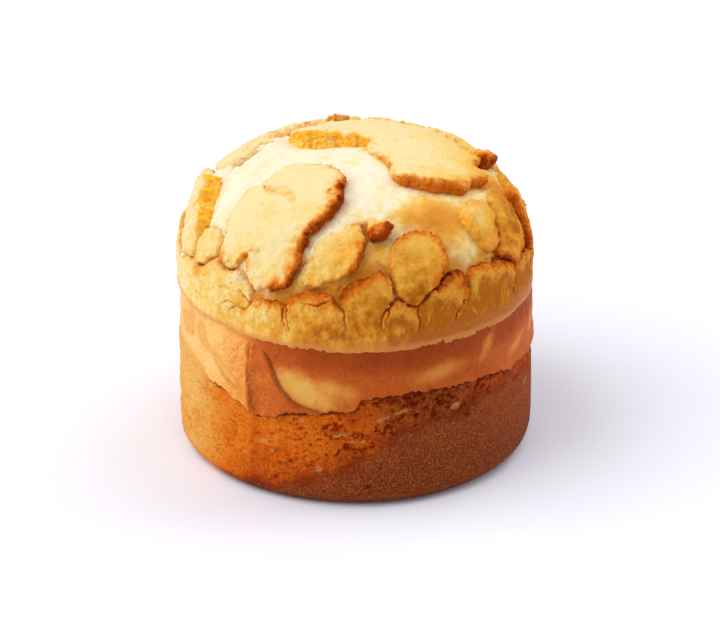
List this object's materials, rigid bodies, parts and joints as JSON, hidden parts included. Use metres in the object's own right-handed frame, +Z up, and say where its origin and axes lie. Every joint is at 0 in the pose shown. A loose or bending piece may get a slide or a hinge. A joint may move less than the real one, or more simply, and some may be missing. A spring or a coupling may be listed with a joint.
{
  "type": "round crusted pull-apart bread",
  "caption": "Tall round bread with straight moulded sides and a domed crown under a cracked cookie crust, standing on its flat base.",
  "frame": {"origin": "centre of the flat base, at the bottom", "axes": "+Z up through the crown, -Y towards the front that the picture shows"},
  "size_m": [0.1212, 0.1213, 0.1043],
  "materials": {
    "crust": "baked bread crust, satin on the crown and matt on the side"
  },
  "bodies": {
    "root": {"bread": "crust"}
  },
  "joints": []
}
